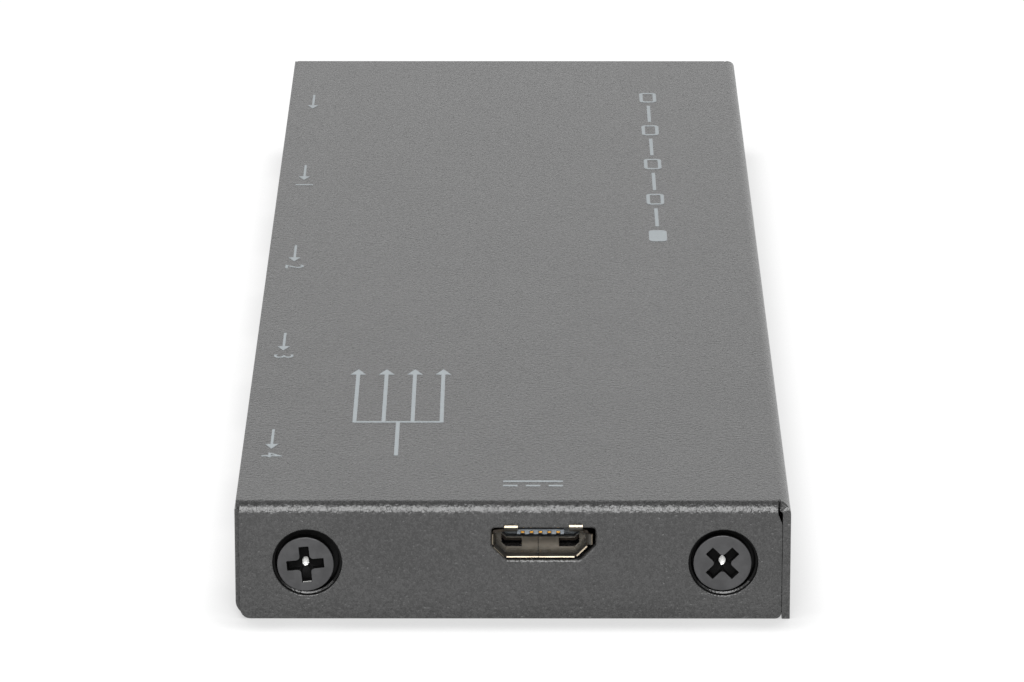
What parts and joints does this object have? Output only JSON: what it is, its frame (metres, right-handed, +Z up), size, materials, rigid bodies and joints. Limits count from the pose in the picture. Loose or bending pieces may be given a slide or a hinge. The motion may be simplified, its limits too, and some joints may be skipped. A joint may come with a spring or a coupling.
{
  "type": "video splitter",
  "caption": "Slim folded sheet-metal video splitter with a row of video sockets in one long wall, a small power socket at one end and flat-headed end screws in pockets.",
  "frame": {"origin": "middle of the underside", "axes": "+X from the port wall to the closed side, +Y from the power end to the far end, +Z up"},
  "size_m": [0.0406, 0.1263, 0.0089],
  "materials": {
    "case_paint": "fine textured powder coat, dark grey",
    "screw_black": "black zinc plated steel, satin",
    "bright_steel": "zinc plated steel",
    "board_black": "glass-fibre board with black solder mask, satin",
    "socket_nickel": "nickel plated folded steel",
    "socket_black": "moulded black plastic",
    "socket_pale": "moulded pale grey plastic",
    "contact_gold": "gold plated copper alloy",
    "chip_black": "moulded chip package, matte",
    "pad_blue": "soft silicone pad",
    "spreader_aluminium": "milled aluminium",
    "crystal_can": "plated can",
    "fuse_green": "resettable fuse, matte",
    "inductor_grey": "moulded ferrite, matte",
    "capacitor_yellow": "moulded case, satin",
    "ceramic_tan": "ceramic, satin",
    "resistor_dark": "glazed ceramic",
    "light_white": "clear encapsulated light",
    "guide_clear": "clear moulded light guide"
  },
  "bodies": {
    "root": {"top_cover": "case_paint", "bottom_chassis": "case_paint", "case_screws": "screw_black", "board_posts": "bright_steel", "board_screws": "bright_steel", "main_board": "board_black", "video_socket_shell_output_4": "socket_nickel", "video_socket_shell_output_3": "socket_nickel", "video_socket_shell_output_2": "socket_nickel", "video_socket_shell_output_1": "socket_nickel", "video_socket_shell_input": "socket_nickel", "power_socket_shell": "socket_nickel", "video_socket_insulator_output_4": "socket_black", "video_socket_insulator_output_3": "socket_black", "video_socket_insulator_output_2": "socket_black", "video_socket_insulator_output_1": "socket_black", "video_socket_insulator_input": "socket_black", "power_socket_insulator": "socket_pale", "video_socket_contacts_output_4": "contact_gold", "video_socket_contacts_output_3": "contact_gold", "video_socket_contacts_output_2": "contact_gold", "video_socket_contacts_output_1": "contact_gold", "video_socket_contacts_input": "contact_gold", "power_socket_contacts": "contact_gold", "splitter_chip": "chip_black", "output_drivers": "chip_black", "control_chip": "chip_black", "memory_chip": "chip_black", "regulator_chips": "chip_black", "surge_arrays": "chip_black", "thermal_pad": "pad_blue", "heat_spreader": "spreader_aluminium", "clock_crystal": "crystal_can", "input_fuse": "fuse_green", "power_inductors": "inductor_grey", "bulk_capacitors": "capacitor_yellow", "small_capacitors": "ceramic_tan", "small_resistors": "resistor_dark", "status_lights": "light_white", "light_guides": "guide_clear"}
  },
  "joints": []
}
